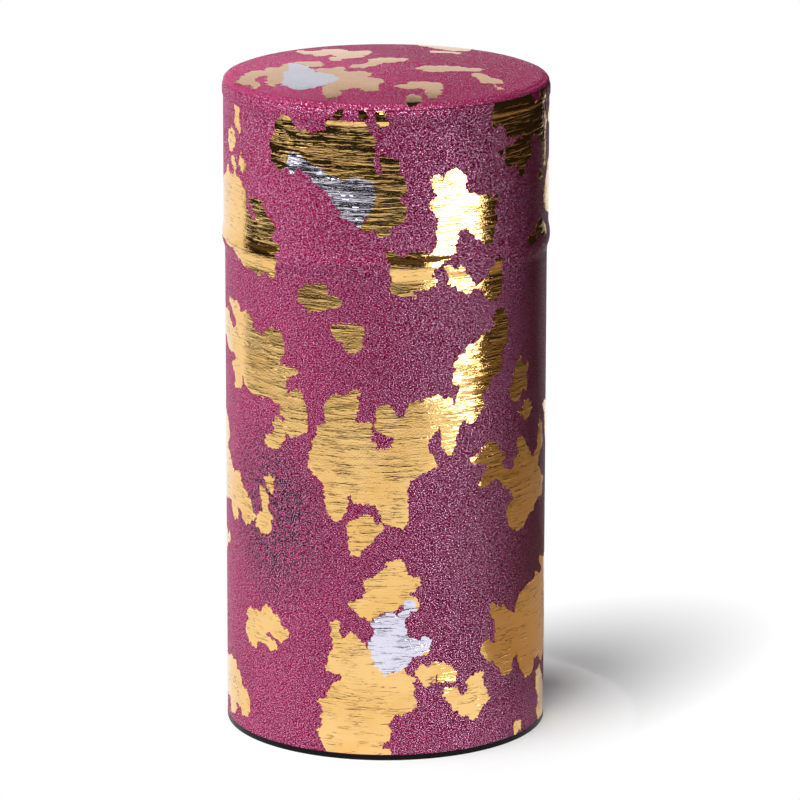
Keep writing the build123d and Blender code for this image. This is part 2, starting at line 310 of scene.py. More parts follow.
BODY_GOLD = """
-51,118.8 -27.3,118.8 -27.9,116.8 -28,115.2 -29,113.9 -30.2,114 -31,115 -32,114.3 -34,113.5
-36,114.3 -38.5,114.3 -40.3,114.6 -41.5,115.7 -43,116 -43.8,117.3 -46,118 -49.5,118.2
/ 1,118.8 1.4,116.5 0.8,114.1 1.2,112.8 2.7,112 4.8,111.8 6.5,111.2 7.1,111.4 6.5,112.8 6,113.2
8.8,113.5 11.7,113.9 12.3,115.1 11.7,116 10.6,116.6 11,117.4 12.5,118.8
/ 13.5,117.8 14,118.8 15,118.8 15.8,117.8 16.7,117.6 17.5,118.5 18.3,118 18.5,116.8 20,115.8
20.8,114.3 21.7,113.5 22.7,113.2 23.8,114.3 25.4,115.3 26.5,117 27.3,118.8 29.2,118.8 29.4,117.4
29.6,114.9 30.2,113.2 29.8,111.6 28.8,109.9 27.9,108.7 26.2,108.9 25,109.9 24.2,111.2 22.9,112.4
21.7,112.4 20.8,112 18.8,111.8 17.1,112.4 16.9,113.2 15.4,113.5 14.4,114.5 14.8,116 14,117
/ -21.9,111 -21.2,112.4 -20,113.5 -18.8,113.9 -16.7,113.9 -15,114.5 -14.4,113.9 -13.8,112
-12.5,111.6 -10.6,111 -10,109.9 -10.8,109.1 -12.9,108.5 -15,107.8 -17.1,107.4 -18.1,106.8 -19,107.4
-18.8,108.5 -20.4,108.9 -21.7,109.5
/ -13.1,104.3 -12.1,104.9 -10.6,105.1 -9.6,105.5 -9,104.9 -5.8,105.1 -5,104.3 -5.4,102.4 -5.6,101.6
-5,99.7 -5.8,99.1 -7.5,98.3 -8.8,98.9 -9.8,100.5 -11.7,101 -12.7,102.2
/ -62,101 -54.6,101.2 -51.7,102.4 -50,101.8 -48.5,99.5 -46.2,98.2 -44.8,99.5 -46.5,101.5 -48,103.2
-50.4,103.9 -49.6,105.3 -47.5,105.1 -44.6,105.5 -42.9,104.9 -42.1,103 -40.8,103.5 -39.6,104.3
-37.9,103.7 -36.5,102.6 -36.7,101.2 -35,100.3 -33.3,99.9 -32.3,100.1 -30.8,101.4 -28.8,102
-26.9,102 -26,100.8 -25.8,99.3 -25.1,98.2 -25.8,96.2 -26.7,94.1 -24.8,93.2 -22.5,93.7 -21.7,93
-22.1,91.6 -23.8,91 -25,89.9 -25.2,88.2 -24.6,87 -23.3,87.6 -22.1,88.5 -20.8,88.5 -20.2,87
-19.2,84.9 -19,82.8 -18.8,79.9 -19.4,78.2 -21.2,77.2 -22.9,76.6 -24.6,77.2 -25.4,76.6 -25.8,75.1
-27.1,73.7 -30,72.8 -31.2,73.7 -31.9,74.7 -30.8,76 -29.2,76.4 -28.5,77.8 -29,79.5 -28.3,81
-27.1,80.8 -26.2,80 -25.2,80.9 -26.7,82 -26.9,83.2 -25.4,84.1 -27.5,84.1 -29.2,84.9 -31.2,85.1
-35,84.9 -37.5,85.1 -39.6,86 -41,88 -41.2,85.8 -42.5,84.7 -44.6,84.1 -45.6,84.5 -45.4,86.6
-46.2,88.2 -47.9,89.5 -47.1,90.3 -45.2,90.8 -45.4,92.2 -47.5,92.4 -49.6,92.4 -51.7,93.2 -53.8,94.9
-60,95.2 -64,97 -64.5,99.5
/ -14.2,86.2 -13.1,87.6 -11.7,88.5 -10,88.2 -8.5,88.5 -7.9,89.7 -6.5,89.8 -5.8,88.7 -6.5,87.4
-6.7,84.5 -6.9,82.2 -5,81.8 -3.5,81.8 -3.3,80.3 -2.9,78.7 -3.1,77.4 -2.5,76 -0.4,75.5 1.5,76.2
2.1,77.8 1.2,78.5 -0.4,79.1 -2.3,80.1 -2.9,81.4 -2.1,82.8 -2.3,84.5 -1.7,85.8 0,86.4 1.2,86.6
1.7,85.8 1.9,84.9 2.7,83.5 3.8,83.2 4.6,84.5 5.2,85.8 6.9,87 9.2,87.4 10.8,87.6 12.3,88.2 12.9,87.6
15,87.4 16,87 16,85.5 16.5,85.3 16.7,86.6 17.5,88.2 17.7,89.9 16.5,90.1 15.8,91 16.2,93.2 16.5,95.5
17.5,96.4 19,97.2 20,99.3 21.7,99.5 22.9,100.1 23.8,101.2 24.8,101.6 26,101.2 26.5,102 27.9,103.2
26.9,104.1 27.1,104.9 27.9,106 29.6,106.8 30.8,106.2 30.4,105.1 31.9,104.1 31.9,102.8 32.1,101.2
31.7,98.7 32.1,98 30.2,97.6 30,94.9 29.8,92.8 29.2,91.4 27.1,90.5 25.8,89.5 25.6,88.2 24.6,87.4
24.2,85.8 24.4,83.7 23.3,82 21.7,80.8 20.4,80.5 19.4,81.4 18.3,81.2 17.5,79.5 16.7,77.4 16.5,75.3
15.8,73.9 15,73.5 14.2,74.1 14,75.1 13.1,76 13.1,77.8 12.9,80.3 12.5,80.8 11.7,79.3 10.8,77.8
9.8,76.2 10,74.9 11.7,73.5 11.9,71.8 12.5,71 11.7,70.8 10,70.1 8.3,69.5 6.2,68.2 5.4,66.6 5,65.3
5,62.8 5.4,60.8 5.4,58.7 5.2,57 3.3,56.6 1.7,57.2 0.4,57.6 -0.8,58.2 -1.2,58.7 -1.2,60.8 -2.3,62
-3.8,62.2 -5.4,62 -7.1,62.4 -8.1,64.1 -9.2,63.7 -8.5,62.4 -9,60.3 -10,59.1 -12.5,58 -13.8,58.9
-14.2,61.2 -14.6,63.7 -14.8,66.2 -15.8,67.4 -17.5,69.1 -18.8,69.7 -18.8,71.2 -18.3,72.2 -17.9,74.1
-17.9,76.2 -16.9,77.8 -16.5,79.9 -14.8,80.8 -14.2,81.6 -14.6,83.7 -14.6,85.3
/ -9.4,57 -8.3,58.2 -6.2,58.9 -4.6,59.9 -3.1,59.5 -2.9,58.5 -1.7,57.4 -0.3,57 -0.6,55.8 -2.1,54.9
-2.9,53.7 -4.6,52.4 -5.8,50 -6,49.7 -8.1,49.7 -8.8,51.6 -9.2,53 -9,54.9
/ -62,77.5 -54,76 -51.5,74.5 -50.3,72 -50.8,70 -52.5,68.7 -51,67.5 -49,65.8 -48.3,64.9 -45.4,64.1
-43.1,64.3 -42.1,62 -39.6,60.1 -37.3,58.7 -36.7,57 -35.4,55.5 -35,54.9 -36.2,53.9 -37.3,53.9
-38.3,52.6 -40,52.4 -41.2,53.2 -41.7,54.9 -43.3,55.3 -44.6,55.1 -43.8,54.1 -44,52.4 -45.8,51.8
-47.5,52.2 -48.1,54.1 -49,56 -50.8,56 -53.8,55.3 -60,54 -64,57 -66,63 -67,70 -65.5,75.5
/ -35,54.5 -34.2,56.4 -32.9,57.8 -32.9,59.9 -33.8,62 -33.3,63.2 -32.1,63 -31.3,61.6 -30.6,61.2
-30.6,59.1 -30,57 -29,56.2 -29.8,54.9 -29.4,53.2 -30.2,52.4 -31.7,51.6 -32.9,51.4 -33.8,52.4
-35.6,53.2
/ -32.5,65.1 -31.2,65.8 -30.2,66.6 -29,66 -28.8,63.2 -29.4,61.8 -30.6,62 -31.2,64.1
/ 20.8,71.6 21.7,72.4 23.5,73.2 24.6,74.5 25.6,75.5 27.5,75.1 28.3,74.1 29.6,72.4 31.2,71.4
31.2,70.1 30.4,69.9 30.4,68.7 31.7,67.6 34,67 34.4,68.2 34.4,69.7 35.6,69.9 36.7,70.3 35.6,72
36,74.1 37.5,74.1 39.2,73.5 39.8,72 41.2,70.8 42.1,68.7 43.8,67.8 45,69.1 46.5,69.9 46.9,72
47.5,74.1 48.5,76 50.4,74.9 50.8,72.4 51.2,69.9 49.6,68.2 47.5,67.2 47.1,65.8 48.8,63.7 50.4,62
52.5,61.2 51.2,59.1 51.2,57.4 48.3,57 45,56.2 44.2,54.7 41.7,54.3 40,53.5 38.8,51.8 37.5,52
36,51.2 34.8,52.2 32.7,53.5 32.1,55.8 32.1,58.2 33.3,59.1 34.6,59.5 33.3,61.6 31.7,62.8 30.2,64.1
29.6,65.3 28.3,65.8 26.2,64.9 25,64.1 23.8,64.5 22.9,65.3 23.8,66.8 24.8,68.2 25.8,69.9 24.2,70.1
22.1,70.1 21,70.8
/ 32.7,84.5 33.1,87 34,88 33.8,89.9 35,90.5 35.2,92.4 36.7,93.2 37.5,94.3 37.9,92 39.4,91 39.8,91.8
40.6,91.2 40.4,89.5 39.4,89.1 40.2,87 40,85.5 37.9,85.5 37.1,84.1 35.6,83 33.8,83.5
/ 36.2,80.3 38.3,81.4 39.2,82.8 40.8,83 41.9,82 42.9,80.5 41.9,79.3 41.2,77.8 40,77.6 38.8,78.2
38.5,79.3 36.9,79.9
/ -8.8,37.8 -7.5,38.7 -5.4,39.5 -4.6,40.8 -5.2,42.8 -4.2,44.5 -2.1,45.3 -0.4,47 0.2,48.5 2.5,49.1
3.8,48.5 4.6,47.8 4.8,46.8 5,45.3 6.7,44.5 8.1,44.1 8,42.4 7.1,41.2 5.8,41 7.1,39.9 7.5,38.7
8.1,37.4 7.5,36.6 5.5,38.5 4,38 3,37.5 1.5,36.5 -1,36 -2.5,35 -2.9,33.9 -4.6,34.3 -5.8,34.9
-7.1,36.2 -8.1,37
/ 8.7,26.2 9.5,25.3 10.3,26.3 10.1,27.2
/ -13.3,33 -12.1,33.8 -10.8,33.5 -10.6,32 -11,30.8 -10,29.7 -9.2,30.3 -8.1,31.4 -7.4,30.5 -6.2,29.7
-4.6,28.2 -3.6,27.5 -2.2,24.5 -0.9,21.5 0.5,21.3 3,22.3 4.9,23.4 4.8,21.6 5.2,20.8 6.5,20.3
6.7,18.2 7.1,17.6 6.5,15.8 7.3,14.7 7.4,12.8 6.2,11.8 4.2,11.4 1.7,10.8 0.8,9.1 1.2,6.4 1,4.9
-0.8,4.1 -1.2,2.8 1,2.8 1.2,1.4 -14.2,1.4 -15,2.8 -16.7,6.2 -15.6,7.4 -15.8,9.5 -15.4,12
-16.9,13.7 -15.8,14.4 -13.8,14.5 -13.8,16.6 -12.5,18.7 -10.4,19.7 -10.6,21 -12.5,20.8 -14.2,21
-14.6,22.4 -13.8,24.1 -12.9,26.2 -12.9,29.5
/ 7,22 7.9,23.2 9,23.2 9.6,22.6 10.6,22.6 11,23.5 11.7,23.7 12.7,22.8 13.3,23.2 14,23.7 14.8,22.4
16.2,21.6 17.5,20.1 17.1,18.2 15.4,18.2 12.9,18.7 12.5,20.3 11.9,20.1 11.9,18.9 10.4,17.9 8.8,18.2
8.1,19.5 7.1,21
/ 13.3,16.6 14.6,17.2 15.8,17 16.7,17.2 17.7,16 17.9,14.7 19.2,14.7 20,15.3 19.8,18 20.8,18.9
22.1,19.1 23.3,19.5 24.8,19.3 25,15.8 26,14.5 26.9,12.4 25.8,11.6 24.2,10.3 23.3,8.5 21.7,8
20.4,8.5 19.6,9.5 18.3,9.9 17.1,11 16,11.6 15.8,12.8 14.8,13.7 14.4,14.9 13.5,15.3
/ -40.4,26.4 -40,28.2 -38.8,29.3 -39.4,30.8 -38.8,32 -37.5,32.6 -36,31.8 -35,32.4 -33.5,32
-32.9,33.5 -31.7,34.6 -30.2,34.1 -29.6,32.8 -27.5,32.4 -26.7,30.5 -24.6,29.9 -24.1,28.5 -25.4,27
-27.1,26.2 -29.2,27 -31.2,28 -32,27.4 -30.8,26.8 -29.2,26.2 -28.1,25.5 -28.3,23.9 -30.8,23.9
-33.3,24.7 -35,24.5 -35.4,22.8 -36.7,23 -37.9,23.9 -39.4,24.9
/ -60,15.5 -54.6,16 -51.7,16.6 -50,17.4 -47.9,16.8 -46.2,17.4 -45.6,16 -43.3,14.7 -42.3,13
-42.5,11.8 -40,11.4 -38.3,9.1 -38.3,6.2 -39.2,4.9 -40.8,4.6 -42.5,4.9 -43.3,6.2 -45.4,6.8
-46.2,6.2 -45.6,4.9 -46.7,3.7 -50.8,2.6 -50.6,4.9 -52.5,6.6 -58,5 -62,7 -64,11
/ -61,46 -54,47 -50.4,47.3 -50.3,45.4 -53,44.5 -56,41 -60,40 -64,42
/ 23.8,24.7 24.2,26.2 25.2,27 26.7,27 27.9,25.8 28.3,26 28.3,31.2 27.1,32.2 26.5,33.5 26.9,36
28.3,35.3 30,34.3 30.8,34.9 32.1,33.7 34.2,32 35.8,31.6 36,34.1 37.1,36.2 39.6,36.8 42.9,37.2
45,37.8 46,39.3 47.5,38.7 48.8,38 50.8,38.2 48.8,41.2 49.6,42.4 51.7,41.2 57.5,40.3 63,41 67,38
68.5,33 66,27 62,22.5 54.6,17 52.5,16 50.4,16 47.9,17.6 45,17.8 44.8,15.3 42.9,14.5 40.2,14.3
39.2,15.8 37.5,17.4 36.7,19.3 35.4,20.8 34.6,19.9 34.2,17.4 32.5,17 30.4,17.6 29.8,19.3 28.3,20.3
27.1,21.6 25.2,22.6
/ 35.2,2.8 35.4,4.3 36.7,4.6 38.5,4.3 38.3,2.8 37.1,1.6 35.2,1.5
/ 46.5,14.1 48.3,14.7 50.8,14.1 52,12 54.2,9.9 62,4.5 63,1.4 49.2,1.4 47.1,3.7 49.2,5.3 48.8,7
47.5,9.1 46.7,11.6
/ 51.2,78.6 53.3,79.4 60,77.5 63.5,74 62.5,70 60,68.5 56,69.5 54.5,73 53.5,76.5
"""
BODY_SILVER = """
-2.9,33.7 -1.7,35.1 0,36.2 1.7,36.7 2.5,35.5 3.8,36.6 4.2,38.7 4.6,39.3 6,39.7 6.9,39.1 7.3,37
5.4,36 4.4,34.5 4.6,32.4 5.2,30.3 7.1,29.7 8.1,29.1 9,30.1 10.2,29.7 10.8,28.2 10.2,26.6 8.8,26
7.5,25.5 6,24.7 5.2,23.2 2.9,21.8 -0.2,20.5 -1.5,22 -2.5,24 -4.2,27.8 -4.2,29.1 -3.1,30.3
-2.9,32.4
"""
TOP_GOLD = """
-35.3,-10.5 -33.5,-4 -31.8,1 -28.3,2 -28,5.5 -25,5.5 -24.5,9 -23,10.5 -21,9.5 -22,3 -23,-2 -22.8,-8
-23.5,-12 -25.3,-14.5 -25.8,-17 -26.8,-16.3 -27.6,-13 -28.2,-8.5 -27.4,-6 -28.2,-4.2 -29.8,-5.2
-30.6,-8.2 -30.4,-10 -29.6,-11.5 -29.2,-15 -29.8,-18.5 -30.8,-20.3 -31.2,-17.5 -31.4,-14.3
-33.5,-14.2 -35,-12.3
/ -22,10 -21,11.8 -18.5,12 -15.5,11.5 -14.5,8 -15,5.5 -17.5,4.8 -18.5,5.5 -19.5,8
/ -17.2,2 -16,3.2 -13.5,3 -11,5 -9.5,5 -9.8,1.5 -9,-1 -6,-0.3 -3.5,-2 -3.3,-5 -4,-7.5 -1.5,-9
-0.5,-12 -1.5,-15 -1.8,-18.5 -2,-22 -4.5,-23 -5.5,-21.5 -6,-19.5 -7.5,-19.5 -9,-21 -10.5,-23
-10.5,-26.5 -11.3,-29.5 -13.5,-31.5 -14,-29 -14.5,-24.5 -14.6,-18.5 -14,-14.8 -12.5,-12 -12,-8.5
-13.5,-5 -15.5,-2.5
/ -21.5,27.5 -20,27.5 -18.5,26 -16.5,26.5 -15,28.5 -12,28.5 -9.5,26.8 -8.5,25 -6,25.5 -4,25.8
-3.2,23 -4.2,20.5 -5,17 -7.5,15.5 -10,14.5 -11,12.2 -12.8,12.5 -13.5,15.5 -13.5,17.5 -12.2,17
-12.2,20 -13.5,20.8 -14.8,18.5 -17,18.2 -17.5,21 -19.8,21.5 -20.8,23.5 -21.5,25.5
/ -8,7.5 -5.5,8 -4.5,10 -4.2,14 -1.5,16 1.5,16 3,15.2 5.2,15 5.2,13 3.5,11 2,9.5 -1,9.2 -2,7.5
-3.5,5 -5,3 -7.5,3.2 -8.5,5
/ 8,36.5 10,36.2 15,35.2 19.5,32.5 21.3,30 20.3,27 19,26 16,25.5 14,28 11,30 9,32.5 7.8,34.5
/ 10.2,25.6 12.5,25.8 14.8,25.3 17.8,24.2 18,22 16.5,21.6 15.5,23 12,22.8 10.4,23.3
/ 6.5,2 8,5.5 10,6.2 16,6 18.5,4.8 22,4.2 23.2,2.5 22,0.2 15,0 13,-1 9.5,-0.8 8.5,1.5
/ 20,-2 22,-1.5 23.5,-4 24.5,-7 27.2,-9.5 27,-13 24.5,-13.8 21.8,-13 21.2,-9 20.2,-5
/ 25.2,-14 26.8,-17.5 27.2,-20 26,-20.5 25,-17.5
/ 1.5,-17.5 3,-15.5 4.8,-15 5.5,-12.2 9,-11.8 12.5,-13 13.2,-17 13,-20 12.5,-24.5 11.5,-28.5
10.5,-31.2 9.2,-29.5 8.8,-25 9,-20.5 7.5,-19 6,-20.5 4,-20 3,-19
/ 4.8,-30 5.2,-26.5 6.5,-25.5 7.8,-27.5 8.2,-31 8.5,-34.5 7,-36.8 5,-37
/ -17,34.3 -13.5,35.6 -10.5,36.3 -11,35.2 -14.5,34
"""
TOP_SILVER = """
-23.5,9.5 -22.5,10.5 -20.5,9 -19,7 -18,3.5 -17,1.8 -16,-1 -14,-3 -12,-5 -11,-8.5 -10.8,-10
-12,-12.5 -13.8,-14.8 -14.5,-16.5 -16,-17.5 -17,-19.5 -19,-20.8 -20.8,-20.5 -22.5,-18 -24.5,-15
-24.5,-12 -23.8,-8 -24,-1.5 -22.8,2 -22.8,5
"""


def outlines(text):
    """Lists of points from text in which / parts one outline from the next."""
    return [
        [Vector([float(number) for number in pair.split(",")]) for pair in part.split()]
        for part in text.split("/")
    ]


def domed(text):
    """Outlines read on a nearly flat top, moved to where they look the same on the dome."""
    made = outlines(text)
    for point in (point for outline in made for point in outline):
        rise = TOP_RISE * max(1 - (point.length / TOP_RIM) ** 2, 0.0)
        point.y -= rise / math.tan(math.radians(CAMERA_DOWN))
    return made


# ---- making leaf -------------------------------------------------------------------------------
TEAR_STEP = 0.32  # longest straight stretch of a torn edge
TEAR_SWING = 0.26  # sideways, as a share of the stretch
TEAR_REACH = 1.0  # longest stretch that still adds to the swing
TRIMMED = (1.4, 118.8, 155.6)  # heights at which leaf is cut straight with a paper's edge
GRID_ALONG, GRID_UP = 0.8, 0.36  # spacing of the points inside a flake
GRID_SHIFT = 0.25  # of every row along itself, one way and the other, as a share of the spacing
EDGE_CLEAR = 0.14  # grid points stay this far from the edge
SAME_POINT = 1e-5  # points nearer than this are joined
LEAF_LIFT = 0.034  # height of a flake's face over the paper
LEAF_EDGE = 0.022  # and of its edge
LEAF_ROUNDING = 0.45  # width over which one passes into the other
LEAF_ROOT = -0.04  # the underside, in the paper
LEAF_SHARP = 50.0  # degrees between faces that make a sharp edge
SILVER_LIFT = 0.015  # of the silver's face over the gold's
CREASE = 0.03  # height of the creases
CREASE_LONG = (0.1, 0.62, 0.0)  # scale along and up, then the layer of the noise
CREASE_SHORT = (0.34, 1.5, 9.0)
CREASE_SHARE = 0.45  # of the short creases against the long ones
CREASE_CALM = (0.07, 0.07, 21.0)  # of the patches with more creases and with fewer
CALM_MIDDLE, CALM_SWING, CALM_LEAST = 0.6, 1.1, 0.15
TOP_CALM = 0.3  # share of the creases that the top's leaf has


def tear(start, end, rng):
    """Points from start up to end along a torn edge."""
    run = end - start
    if run.length < TEAR_STEP:
        return [start]
    straight = start.y == end.y and round(start.y, 1) in TRIMMED
    swing = 0.0 if straight else rng.gauss(0, TEAR_SWING) * min(run.length, TEAR_REACH)
    middle = (start + end) / 2 + Vector((-run.y, run.x)).normalized() * swing
    return tear(start, middle, rng) + tear(middle, end, rng)


def crease(along, up):
    """Height of the leaf's fine creases, which lie mostly one way."""

    def wave(scale_along, scale_up, layer):
        return noise.noise((along * scale_along, up * scale_up, layer))

    calm = CALM_MIDDLE + CALM_SWING * wave(*CREASE_CALM)
    folds = wave(*CREASE_LONG) + CREASE_SHARE * wave(*CREASE_SHORT)
    return CREASE * max(calm, CALM_LEAST) * folds


def leaf_sheet(outline, place, base, body, turned):
    """One flake as points and faces: a creased top, its torn edge, and the same face below."""
    spots = kdtree.KDTree(len(outline))
    for index, point in enumerate(outline):
        spots.insert((point.x, point.y, 0), index)
    spots.balance()
    step_x, step_y = (GRID_UP, GRID_ALONG) if turned else (GRID_ALONG, GRID_UP)
    corner = Vector((min(p.x for p in outline), min(p.y for p in outline)))
    far = Vector((max(p.x for p in outline), max(p.y for p in outline)))
    points = list(outline)
    for row in range(1, int((far.y - corner.y) / step_y) + 1):
        for column in range(1, int((far.x - corner.x) / step_x) + 1):
            shift = GRID_SHIFT if row % 2 else -GRID_SHIFT
            spot = corner + Vector(((column + shift) * step_x, row * step_y))
            if spots.find((spot.x, spot.y, 0))[2] > EDGE_CLEAR:
                points.append(spot)
    squash = Vector((1 / step_x, 1 / step_y))
    ring = list(range(len(outline)))
    squashed = [point * squash for point in points]
    flat, _, faces, *_ = delaunay_2d_cdt(squashed, [], [ring], 1, SAME_POINT)
    used = sorted({index for face in faces for index in face})
    number = {index: spot for spot, index in enumerate(used)}
    faces = [[number[index] for index in face] for face in faces]
    top, bottom = [], []
    for index in used:
        spot = Vector((flat[index].x / squash.x, flat[index].y / squash.y))
        inside = min(spots.find((spot.x, spot.y, 0))[2] / LEAF_ROUNDING, 1.0)
        creases = TOP_CALM * crease(spot.y, spot.x) if turned else crease(spot.x, spot.y)
        lift = base + LEAF_EDGE + (LEAF_LIFT - LEAF_EDGE + creases) * smooth(inside)
        top.append(place(spot.x, spot.y, lift, body))
        bottom.append(place(spot.x, spot.y, LEAF_ROOT, body))
    edges = {}
    for face in faces:
        for first, second in zip(face, face[1:] + face[:1]):
            edges[first, second] = True
    rims = [edge for edge in edges if edge[::-1] not in edges]
    size = len(top)
    walls = [[second, first, first + size, second + size] for first, second in rims]
    below = [[index + size for index in reversed(face)] for face in faces]
    return top + bottom, faces + walls + below


def add_mesh(name, points, faces):
    mesh = bpy.data.meshes.new(name)
    mesh.from_pydata(points, [], faces)
    mesh.validate()
    mesh.update()
    piece = bpy.data.objects.new(name, mesh)
    bpy.context.scene.collection.objects.link(piece)
    return piece


def add_leaf(name, flakes, place, body, material, seed, base=0.0, turned=False):
    """All flakes of one metal on one surface, as one piece."""
    rng = random.Random(seed)
    points, faces = [], []
    for flake in flakes:
        torn = []
        for start, end in zip(flake, flake[1:] + flake[:1]):
            torn += tear(start, end, rng)
        if place == on_side:
            bottom, top = (BODY_BOTTOM, BODY_TOP) if body == BODY else (LID_BOTTOM, DISC_EDGE)
            torn = [Vector((p.x, min(max(p.y, bottom), top))) for p in torn]
        made, sides = leaf_sheet(torn, place, base, body, turned)
        faces += [[index + len(points) for index in side] for side in sides]
        points += made
    piece = add_mesh(name, points, faces)
    piece.data.shade_smooth()
    piece.data.set_sharp_from_angle(angle=math.radians(LEAF_SHARP))
    piece.data.materials.append(material)
    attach(piece, body)
    return piece


# ---- scatter on the side that the photograph doesn't show ---------------------------------------
HIDDEN_START, HIDDEN_END = 68.0, 112.0  # arc from the front, on either side
START_CLEAR, END_CLEAR = 2.6, 2.4  # a flake's middle stays its size over this from those ends
SPACING = 0.42  # least distance between two middles, as a share of the sum of their sizes
HIDDEN_SEED = 41
BODY_TRIES, BODY_SIZES = 260, (6, 9, 14, 21, 30)
LID_TRIES, LID_SIZES = 90, (6, 10, 15, 22)
BODY_MARGINS = (2, 3)  # clear paper at the lower and the upper edge
LID_MARGINS = (1, 6)
SILVER_BACK = (3, 9)  # which of the body's hidden flakes are silver

LOBES = (2, 3, 4, 7)  # waves round a flake's outline
LOBE_HEIGHTS = (0.02, 0.12)  # these and the next three are shares of the flake's size
BLOB_REACH = 0.4
BLOB_LEAST = 0.14
BLOB_RAGGED = 0.05
BLOB_WIDTHS = (0.5, 0.9)  # a flake's width over its length
BLOB_POINTS = 12  # at least
BLOB_DENSITY = 1.5  # points per millimetre of size


def blob(rng, centre, size):
    """An uneven outline of about this many millimetres across."""
    waves = [(lobes, rng.uniform(0, math.tau), rng.uniform(*LOBE_HEIGHTS)) for lobes in LOBES]
    width = rng.uniform(*BLOB_WIDTHS)
    slant = Matrix.Rotation(rng.uniform(0, math.tau), 2)
    count = max(BLOB_POINTS, int(size * BLOB_DENSITY))
    points = []
    for index in range(count):
        turn = math.tau * index / count
        swell = sum(height * math.sin(lobes * turn + phase) for lobes, phase, height in waves)
        reach = max(BLOB_REACH + swell, BLOB_LEAST) + rng.uniform(-BLOB_RAGGED, BLOB_RAGGED)
        points.append(centre + slant @ Vector((math.cos(turn) * width, math.sin(turn))) * reach * size)
    return points


def scatter(rng, bottom, top, tries, sizes):
    """Flakes over the back between two heights, clear of the lap and of one another."""
    taken, made = [], []
    for _ in range(tries):
        size = rng.choice(sizes)
        side = rng.choice((-1, 1))
        arc = side * rng.uniform(HIDDEN_START + size / START_CLEAR, HIDDEN_END - size / END_CLEAR)
        centre = Vector((arc, rng.uniform(bottom + size / 2, top - size / 2)))
        if all((centre - other).length > (size + width) * SPACING for other, width in taken):
            taken.append((centre, size))
            made.append(blob(rng, centre, size))
    return made


# ---- materials ---------------------------------------------------------------------------------
# The centre and size of the side's mottled patch, as arc, height and radius, and of the top's painted
# light, a paler patch to the left where more light falls, as x, y and z.
MOTTLED = ((-29.0, 57.0, PAPER_RADIUS), (20.0, 26.0, 20.0))
PAINTED_LIGHT_TOP_PATCH = ((-26.0, 0.0, LID_TOP), (38.0, 38.0, 20.0))
DYE_DEEP, DYE = seen(88, 0, 30), seen(200, 34, 104)
FIBRE_DYE, PIT_DYE, CLOUD_DYE = seen(228, 74, 140), seen(60, 4, 26), seen(140, 14, 70)
# The first is painted light, the paler tint of the top's left, where more light falls.
PAINTED_LIGHT_TOP_TINT, BLOT_DYE = seen(232, 84, 146), seen(58, 14, 24)
PEARL = seen(244, 194, 234)
CRACK_AND_STREAK_SHADE = seen(84, 48, 30)  # dark lines: cracks where paper shows through the leaf, and painted shade of its wrinkles' streaks


def paper_material(name, turned):
    """Dyed handmade paper: matted fibres with pits and pearly specks, cloudy, and with one patch:
    mottling on the side, painted light on the top.
    """
    s = Shade(bpy.data.materials.new(name))
    place = s.flat() if turned else s.wrapped()
    fibre = s.noise(s.scaled(place, (1.2, 0.6, 0.6) if turned else (0.4, 1.5, 1.5)), 3.2, 3.0, 0.7)
    grain = s.noise(s.scaled(place, (1.0, 0.4, 1.0) if turned else (0.6, 1.15, 1.15)), 3.0, 2.0, 0.74)
    pit = s.noise(s.scaled(place, (1.1, 0.9, 0.9)), 2.8, 2.0, 0.6)
    speck = s.noise(s.scaled(place, (1.0, 0.4, 1.0) if turned else (0.8, 1.4, 1.4)), 3.8, 1.0, 0.5)
    cloud = s.noise(place, 0.05, 3.0, 0.6)
    colour = s.mix(s.ramp(grain, 0.38, 0.6), DYE_DEEP, DYE)
    colour = s.mix(s.ramp(fibre, 0.52, 0.64, 0.0, 0.5), colour, FIBRE_DYE)
    colour = s.mix(s.ramp(pit, 0.56, 0.66, 0.0, 0.8), colour, PIT_DYE)
    cloudy = s.ramp(cloud, 0.4, 0.62, *((0.7, 0.95) if turned else (0.0, 0.3)))
    colour = s.mix(cloudy, colour, CLOUD_DYE)
    if turned:
        # painted light: the top is paler to its left, where more light falls
        colour = s.mix(s.math("MULTIPLY", s.patch(place, *PAINTED_LIGHT_TOP_PATCH), 0.3), colour, PAINTED_LIGHT_TOP_TINT)
    else:
        blot = s.ramp(s.noise(place, 1.2, 2.0, 0.55), 0.45, 0.52, 0.0, 1.0)
        colour = s.mix(s.math("MULTIPLY", s.patch(place, *MOTTLED), blot), colour, BLOT_DYE)
    pearl = s.ramp(speck, 0.545, 0.625)
    colour = s.mix(s.math("MULTIPLY", pearl, 0.36 if turned else 0.72), colour, PEARL)
    height = s.math("ADD", fibre, s.math("ADD", grain, s.math("MULTIPLY", pit, -0.6)))
    return s.principled(
        Base_Color=colour,
        Metallic=s.math("MULTIPLY", pearl, 0.85),
        Roughness=s.ramp(pearl, 0.0, 1.0, 0.45, 0.26),
        Specular_IOR_Level=0.05 if turned else 0.02,
        Normal=s.bump(height, 0.14),
    )


